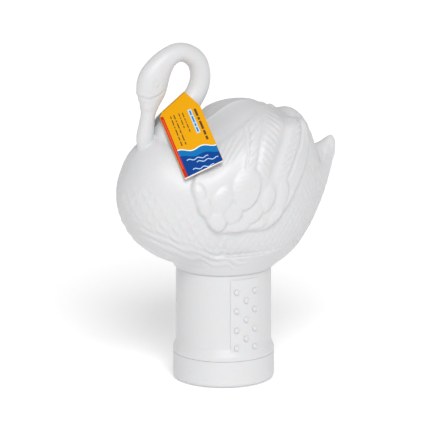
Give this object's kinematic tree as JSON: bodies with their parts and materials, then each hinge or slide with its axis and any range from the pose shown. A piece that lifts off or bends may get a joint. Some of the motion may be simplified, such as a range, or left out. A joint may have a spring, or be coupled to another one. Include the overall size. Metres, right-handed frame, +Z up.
{
  "type": "floating chlorine dispenser",
  "caption": "Hollow swan float over a tube for pool tablets, with push-in plugs that set the dose, a threaded bottom cap and a folded card tag round the neck.",
  "frame": {"origin": "centre of the cap's flat base, on the tube's axis", "axes": "+Z up along the tube's axis towards the swan, -Y the way the swan faces, +X the swan's left"},
  "size_m": [0.1338, 0.22, 0.3231],
  "materials": {
    "swan_plastic": "white blow-moulded polyethylene, soft satin sheen",
    "tube_plastic": "white blow-moulded polyethylene, soft satin sheen",
    "cap_plastic": "white injection-moulded polyethylene, satin",
    "plug_plastic": "white soft polyethylene",
    "gasket_rubber": "matte black rubber",
    "o_ring_rubber": "matte black rubber",
    "tag_card": "coated printed card, orange-yellow front, white back"
  },
  "bodies": {
    "cap": {"screw_cap": "cap_plastic"},
    "gasket": {"cap_gasket": "gasket_rubber"},
    "float": {"swan_float": "swan_plastic", "dosing_tube": "tube_plastic", "float_o_ring": "o_ring_rubber"},
    "tag_front": {"tag_front_leaf": "tag_card"},
    "tag_back": {"tag_back_leaf": "tag_card"},
    "dosing_plug_left_01": {"dosing_plug_left_01": "plug_plastic"},
    "dosing_plug_left_02": {"dosing_plug_left_02": "plug_plastic"},
    "dosing_plug_left_03": {"dosing_plug_left_03": "plug_plastic"},
    "dosing_plug_left_04": {"dosing_plug_left_04": "plug_plastic"},
    "dosing_plug_left_05": {"dosing_plug_left_05": "plug_plastic"},
    "dosing_plug_left_06": {"dosing_plug_left_06": "plug_plastic"},
    "dosing_plug_left_07": {"dosing_plug_left_07": "plug_plastic"},
    "dosing_plug_left_08": {"dosing_plug_left_08": "plug_plastic"},
    "dosing_plug_left_09": {"dosing_plug_left_09": "plug_plastic"},
    "dosing_plug_left_10": {"dosing_plug_left_10": "plug_plastic"},
    "dosing_plug_left_11": {"dosing_plug_left_11": "plug_plastic"},
    "dosing_plug_right_01": {"dosing_plug_right_01": "plug_plastic"},
    "dosing_plug_right_02": {"dosing_plug_right_02": "plug_plastic"},
    "dosing_plug_right_03": {"dosing_plug_right_03": "plug_plastic"},
    "dosing_plug_right_04": {"dosing_plug_right_04": "plug_plastic"},
    "dosing_plug_right_05": {"dosing_plug_right_05": "plug_plastic"},
    "dosing_plug_right_06": {"dosing_plug_right_06": "plug_plastic"},
    "dosing_plug_right_07": {"dosing_plug_right_07": "plug_plastic"},
    "dosing_plug_right_08": {"dosing_plug_right_08": "plug_plastic"},
    "dosing_plug_right_09": {"dosing_plug_right_09": "plug_plastic"},
    "dosing_plug_right_10": {"dosing_plug_right_10": "plug_plastic"},
    "dosing_plug_right_11": {"dosing_plug_right_11": "plug_plastic"}
  },
  "joints": [
    {"name": "cap_turn", "type": "hinge", "parent": "cap", "child": "gasket", "pos_m": [0, 0, 0.004], "axis": [0, 0, 1], "range_deg": [0, 1080]},
    {"name": "thread_lift", "type": "slide", "parent": "gasket", "child": "float", "axis": [0, 0, 1], "range_m": [0, 0.036]},
    {"name": "front_leaf_fold", "type": "hinge", "parent": "float", "child": "tag_front", "pos_m": [0, -0.0522, 0.2684], "axis": [0, -0.8141, -0.5807], "range_deg": [0, 60]},
    {"name": "back_leaf_fold", "type": "hinge", "parent": "float", "child": "tag_back", "pos_m": [0, -0.0522, 0.2684], "axis": [0, 0.8141, 0.5807], "range_deg": [0, 60]},
    {"name": "plug_left_01_pull", "type": "slide", "parent": "float", "child": "dosing_plug_left_01", "axis": [0.9781, 0.2079, 0], "range_m": [0, 0.006]},
    {"name": "plug_left_02_pull", "type": "slide", "parent": "float", "child": "dosing_plug_left_02", "axis": [0.9781, -0.2079, 0], "range_m": [0, 0.006]},
    {"name": "plug_left_03_pull", "type": "slide", "parent": "float", "child": "dosing_plug_left_03", "axis": [1, 0, 0], "range_m": [0, 0.006]},
    {"name": "plug_left_04_pull", "type": "slide", "parent": "float", "child": "dosing_plug_left_04", "axis": [0.9781, 0.2079, 0], "range_m": [0, 0.006]},
    {"name": "plug_left_05_pull", "type": "slide", "parent": "float", "child": "dosing_plug_left_05", "axis": [0.9781, -0.2079, 0], "range_m": [0, 0.006]},
    {"name": "plug_left_06_pull", "type": "slide", "parent": "float", "child": "dosing_plug_left_06", "axis": [1, 0, 0], "range_m": [0, 0.006]},
    {"name": "plug_left_07_pull", "type": "slide", "parent": "float", "child": "dosing_plug_left_07", "axis": [0.9781, 0.2079, 0], "range_m": [0, 0.006]},
    {"name": "plug_left_08_pull", "type": "slide", "parent": "float", "child": "dosing_plug_left_08", "axis": [0.9781, -0.2079, 0], "range_m": [0, 0.006]},
    {"name": "plug_left_09_pull", "type": "slide", "parent": "float", "child": "dosing_plug_left_09", "axis": [1, 0, 0], "range_m": [0, 0.006]},
    {"name": "plug_left_10_pull", "type": "slide", "parent": "float", "child": "dosing_plug_left_10", "axis": [0.9781, 0.2079, 0], "range_m": [0, 0.006]},
    {"name": "plug_left_11_pull", "type": "slide", "parent": "float", "child": "dosing_plug_left_11", "axis": [0.9781, -0.2079, 0], "range_m": [0, 0.006]},
    {"name": "plug_right_01_pull", "type": "slide", "parent": "float", "child": "dosing_plug_right_01", "axis": [-0.9781, -0.2079, 0], "range_m": [0, 0.006]},
    {"name": "plug_right_02_pull", "type": "slide", "parent": "float", "child": "dosing_plug_right_02", "axis": [-0.9781, 0.2079, 0], "range_m": [0, 0.006]},
    {"name": "plug_right_03_pull", "type": "slide", "parent": "float", "child": "dosing_plug_right_03", "axis": [-1, 0, 0], "range_m": [0, 0.006]},
    {"name": "plug_right_04_pull", "type": "slide", "parent": "float", "child": "dosing_plug_right_04", "axis": [-0.9781, -0.2079, 0], "range_m": [0, 0.006]},
    {"name": "plug_right_05_pull", "type": "slide", "parent": "float", "child": "dosing_plug_right_05", "axis": [-0.9781, 0.2079, 0], "range_m": [0, 0.006]},
    {"name": "plug_right_06_pull", "type": "slide", "parent": "float", "child": "dosing_plug_right_06", "axis": [-1, 0, 0], "range_m": [0, 0.006]},
    {"name": "plug_right_07_pull", "type": "slide", "parent": "float", "child": "dosing_plug_right_07", "axis": [-0.9781, -0.2079, 0], "range_m": [0, 0.006]},
    {"name": "plug_right_08_pull", "type": "slide", "parent": "float", "child": "dosing_plug_right_08", "axis": [-0.9781, 0.2079, 0], "range_m": [0, 0.006]},
    {"name": "plug_right_09_pull", "type": "slide", "parent": "float", "child": "dosing_plug_right_09", "axis": [-1, 0, 0], "range_m": [0, 0.006]},
    {"name": "plug_right_10_pull", "type": "slide", "parent": "float", "child": "dosing_plug_right_10", "axis": [-0.9781, -0.2079, 0], "range_m": [0, 0.006]},
    {"name": "plug_right_11_pull", "type": "slide", "parent": "float", "child": "dosing_plug_right_11", "axis": [-0.9781, 0.2079, 0], "range_m": [0, 0.006]}
  ],
  "couplings": [
    {"joint": "thread_lift", "follows": "cap_turn", "m_per_rad": 0.0019098}
  ]
}
